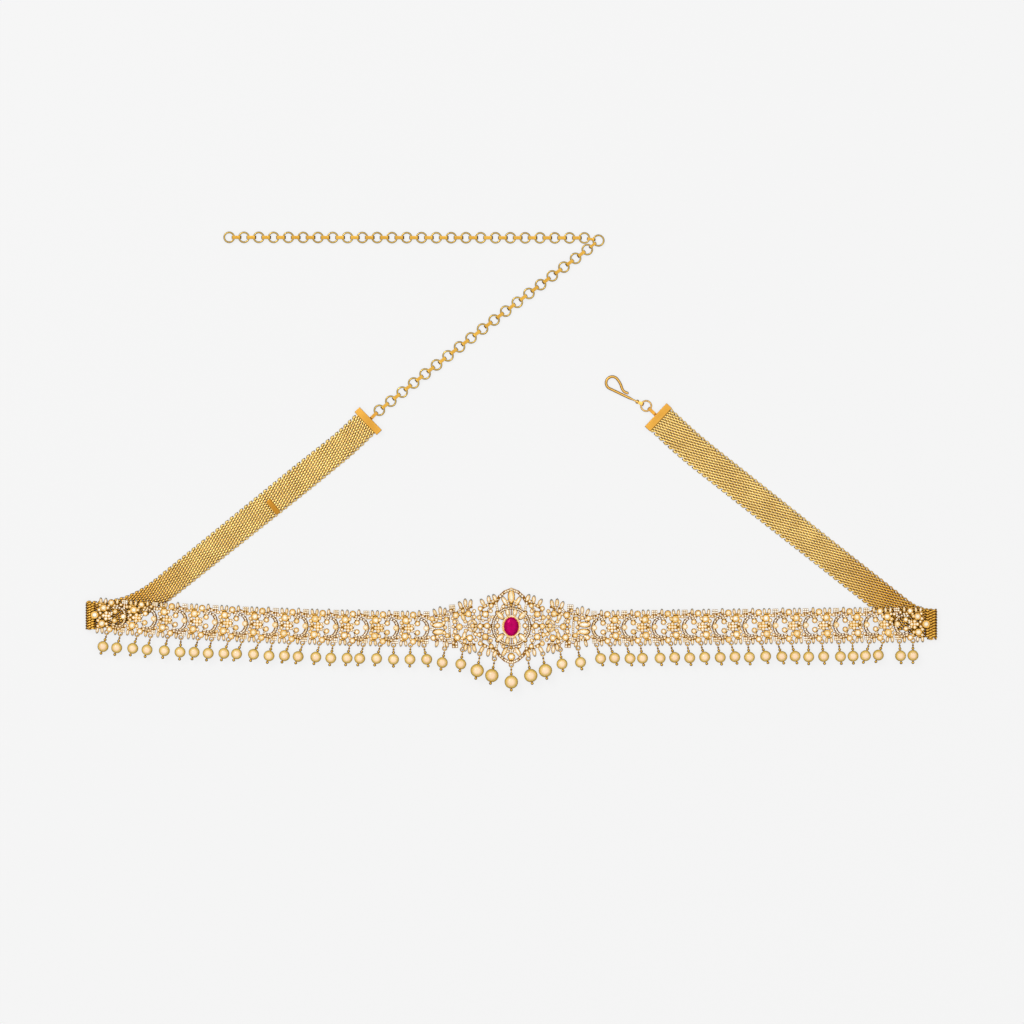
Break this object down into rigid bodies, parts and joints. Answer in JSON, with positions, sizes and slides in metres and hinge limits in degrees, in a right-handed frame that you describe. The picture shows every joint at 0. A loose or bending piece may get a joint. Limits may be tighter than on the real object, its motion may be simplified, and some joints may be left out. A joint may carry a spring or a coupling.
{
  "type": "waist belt",
  "caption": "Gold waist belt with a pierced, stone-set front panel, ruby centre, pearl drops, mesh bands, extension chain and hook, laid out flat.",
  "frame": {"origin": "middle of the medallion's back, on the surface that the belt lies on", "axes": "+X along the front panel towards the wearer's left, +Y up the panel, +Z out of its front"},
  "size_m": [0.3407, 0.1839, 0.0054],
  "materials": {
    "panel_gold": "polished pale gold, cast and pierced",
    "mesh_gold": "woven gold wire mesh",
    "cap_gold": "satin yellow gold sheet",
    "chain_gold": "polished yellow gold wire",
    "pin_gold": "polished yellow gold wire and beads",
    "ruby": "faceted red stone",
    "white_stone": "faceted colourless stone",
    "pearl": "lustrous peach-gold pearl"
  },
  "bodies": {
    "root": {"medallion": "panel_gold", "left_wing": "panel_gold", "right_wing": "panel_gold", "ruby": "ruby", "left_stones": "white_stone", "right_stones": "white_stone", "left_unit_01": "panel_gold", "left_unit_02": "panel_gold", "left_unit_03": "panel_gold", "left_unit_04": "panel_gold", "left_unit_05": "panel_gold", "left_unit_06": "panel_gold", "left_unit_07": "panel_gold", "left_unit_08": "panel_gold", "left_unit_09": "panel_gold", "left_unit_10": "panel_gold", "left_unit_11": "panel_gold", "right_unit_01": "panel_gold", "right_unit_02": "panel_gold", "right_unit_03": "panel_gold", "right_unit_04": "panel_gold", "right_unit_05": "panel_gold", "right_unit_06": "panel_gold", "right_unit_07": "panel_gold", "right_unit_08": "panel_gold", "right_unit_09": "panel_gold", "right_unit_10": "panel_gold", "right_unit_11": "panel_gold", "left_pearls": "pearl", "right_pearls": "pearl", "left_pins": "pin_gold", "right_pins": "pin_gold", "large_pins": "pin_gold", "large_pearl_1": "pearl", "large_pearl_2": "pearl", "large_pearl_3": "pearl", "large_pearl_4": "pearl", "large_pearl_5": "pearl", "left_band": "mesh_gold", "right_band": "mesh_gold", "joining_bar": "cap_gold", "left_cap": "cap_gold", "right_cap": "cap_gold", "chain_slant": "chain_gold", "chain_level": "chain_gold", "jump_ring": "chain_gold", "hook": "chain_gold"}
  },
  "joints": []
}
